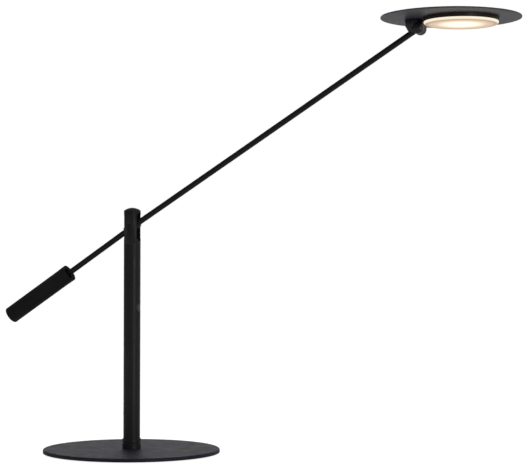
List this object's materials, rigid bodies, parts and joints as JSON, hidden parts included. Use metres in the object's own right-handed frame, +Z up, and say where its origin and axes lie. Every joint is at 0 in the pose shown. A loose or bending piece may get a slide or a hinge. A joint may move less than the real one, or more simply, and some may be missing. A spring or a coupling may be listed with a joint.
{
  "type": "desk lamp",
  "caption": "Counterweight balance desk lamp: round base, turning post with a touch switch, tilting rod arm with a cylindrical weight, and a flat round shade over a round light module.",
  "frame": {"origin": "on the table surface, under the middle of the round base and of the post", "axes": "+Z up along the post; +X from the post towards the lamp head with the swivel at rest; Y along both tilt axes"},
  "size_m": [0.6002, 0.2, 0.4782],
  "materials": {
    "black_steel": "satin black powder coat",
    "matte_black_steel": "matte black paint",
    "black_aluminium": "satin black anodised",
    "steel": "plain zinc plated steel",
    "black_screw": "blackened steel",
    "bearing_plastic": "natural acetal",
    "button_plastic": "smooth black",
    "carrier_plastic": "moulded black",
    "diffuser_plastic": "opal, lit warm white",
    "reflector_plastic": "white sheet",
    "board": "white solder mask on aluminium",
    "green_board": "glass fibre board with solder mask",
    "chip": "phosphor lens",
    "lead_jacket": "flexible jacket",
    "pad_rubber": "fine-grained black"
  },
  "bodies": {
    "base": {"foot_pad": "pad_rubber", "base_plate": "black_steel", "swivel_ring": "matte_black_steel", "swivel_bolt": "steel", "ring_screws": "steel", "stop_pin": "steel", "clamp_washer": "steel", "disc_spring": "steel", "lock_nut": "steel"},
    "post": {"swivel_washer": "bearing_plastic", "foot_plug": "steel", "post_collar": "matte_black_steel", "post_tube": "black_steel", "inlet_grommet": "pad_rubber", "switch_carrier": "carrier_plastic", "sensor_board": "green_board", "touch_button": "button_plastic", "post_lead": "lead_jacket", "post_head": "black_steel", "pivot_bushes": "bearing_plastic"},
    "arm": {"pivot_hub": "black_steel", "hub_grub": "steel", "pivot_pin": "steel", "pivot_screws": "black_screw", "front_rod": "black_steel", "rear_rod": "black_steel", "counterweight": "matte_black_steel", "weight_screw": "black_screw", "rod_end": "black_steel", "arm_lead": "lead_jacket"},
    "head": {"head_clevis": "black_aluminium", "hinge_screw": "black_screw", "hinge_washers": "bearing_plastic", "clevis_screws": "black_screw", "shade_disc": "black_aluminium", "head_lead": "lead_jacket", "led_housing": "black_aluminium", "led_board": "board", "led_chips": "chip", "reflector_sheet": "reflector_plastic", "module_nuts": "steel", "diffuser": "diffuser_plastic"}
  },
  "joints": [
    {"name": "post_swivel", "type": "hinge", "parent": "base", "child": "post", "pos_m": [0, 0, 0.005], "axis": [0, 0, 1], "range_deg": [-160, 160]},
    {"name": "arm_tilt", "type": "hinge", "parent": "post", "child": "arm", "pos_m": [0, 0, 0.25605], "axis": [0, 1, 0], "range_deg": [-15, 52]},
    {"name": "head_tilt", "type": "hinge", "parent": "arm", "child": "head", "pos_m": [0.33196, 0, 0.46753], "axis": [0, 1, 0], "range_deg": [-25, 75]}
  ]
}
